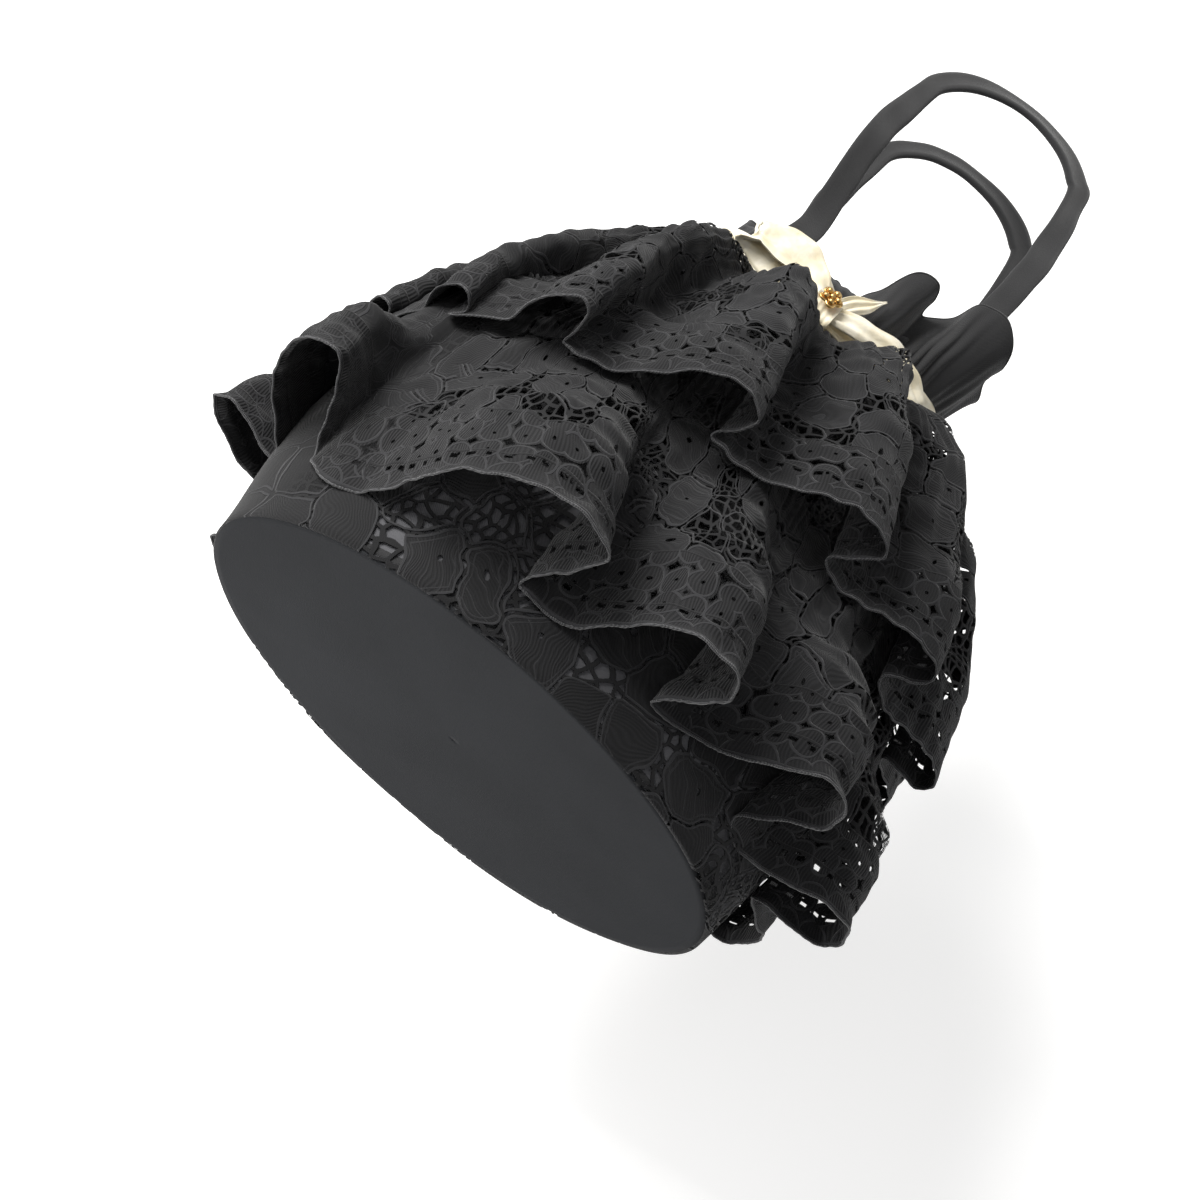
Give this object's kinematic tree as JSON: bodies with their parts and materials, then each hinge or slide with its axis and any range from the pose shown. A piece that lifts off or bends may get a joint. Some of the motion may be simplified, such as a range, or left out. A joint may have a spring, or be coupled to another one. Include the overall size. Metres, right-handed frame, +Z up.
{
  "type": "ruffled lace handbag",
  "caption": "Lace handbag with a stiff oval base, gathered lace flounces, a satin ribbon bow round its neck and two strap handles.",
  "frame": {"origin": "centre of the underside of the oval base", "axes": "+Z up through the neck to the handles, X along the oval's long axis, -Y to the front, where the bow is"},
  "size_m": [0.34, 0.245, 0.5258],
  "materials": {
    "lace": "black floral corded lace, matt",
    "backing": "charcoal plain cloth under the lace",
    "base_cloth": "smooth dark charcoal bonded cloth",
    "plain_cloth": "plain black woven cloth",
    "lining": "black lining twill",
    "tape": "black woven seam tape",
    "webbing": "black cotton webbing",
    "board": "grey-brown bag board",
    "satin": "ivory satin ribbon",
    "gold_metal": "small gold-coloured metal ornament"
  },
  "bodies": {
    "bag": {"base_cover": "base_cloth", "base_board": "board", "base_seam_tape": "tape", "lining_floor": "lining", "body_lining": "lining", "body_backing": "backing", "body_lace": "lace", "lower_gather_tape": "tape", "lower_ruffle": "lace", "upper_gather_tape": "tape", "upper_ruffle": "lace", "mouth_frill": "plain_cloth", "mouth_facing": "plain_cloth", "neck_ribbon": "satin", "bow_knot": "satin", "bow_loop_left": "satin", "bow_loop_right": "satin", "bow_tail_left": "satin", "bow_tail_right": "satin", "ornament_setting": "gold_metal", "ornament_beads": "gold_metal", "handle_end_front_left": "plain_cloth", "handle_end_front_right": "plain_cloth", "handle_end_back_left": "plain_cloth", "handle_end_back_right": "plain_cloth"},
    "front_handle": {"front_handle": "plain_cloth", "front_handle_core": "webbing"},
    "back_handle": {"back_handle": "plain_cloth", "back_handle_core": "webbing"}
  },
  "joints": [
    {"name": "front_handle_swing", "type": "hinge", "parent": "bag", "child": "front_handle", "pos_m": [0, -0.02786, 0.351], "axis": [1, 0, 0], "range_deg": [-6, 100]},
    {"name": "back_handle_swing", "type": "hinge", "parent": "bag", "child": "back_handle", "pos_m": [0, 0.02786, 0.351], "axis": [-1, 0, 0], "range_deg": [-6, 100]}
  ]
}
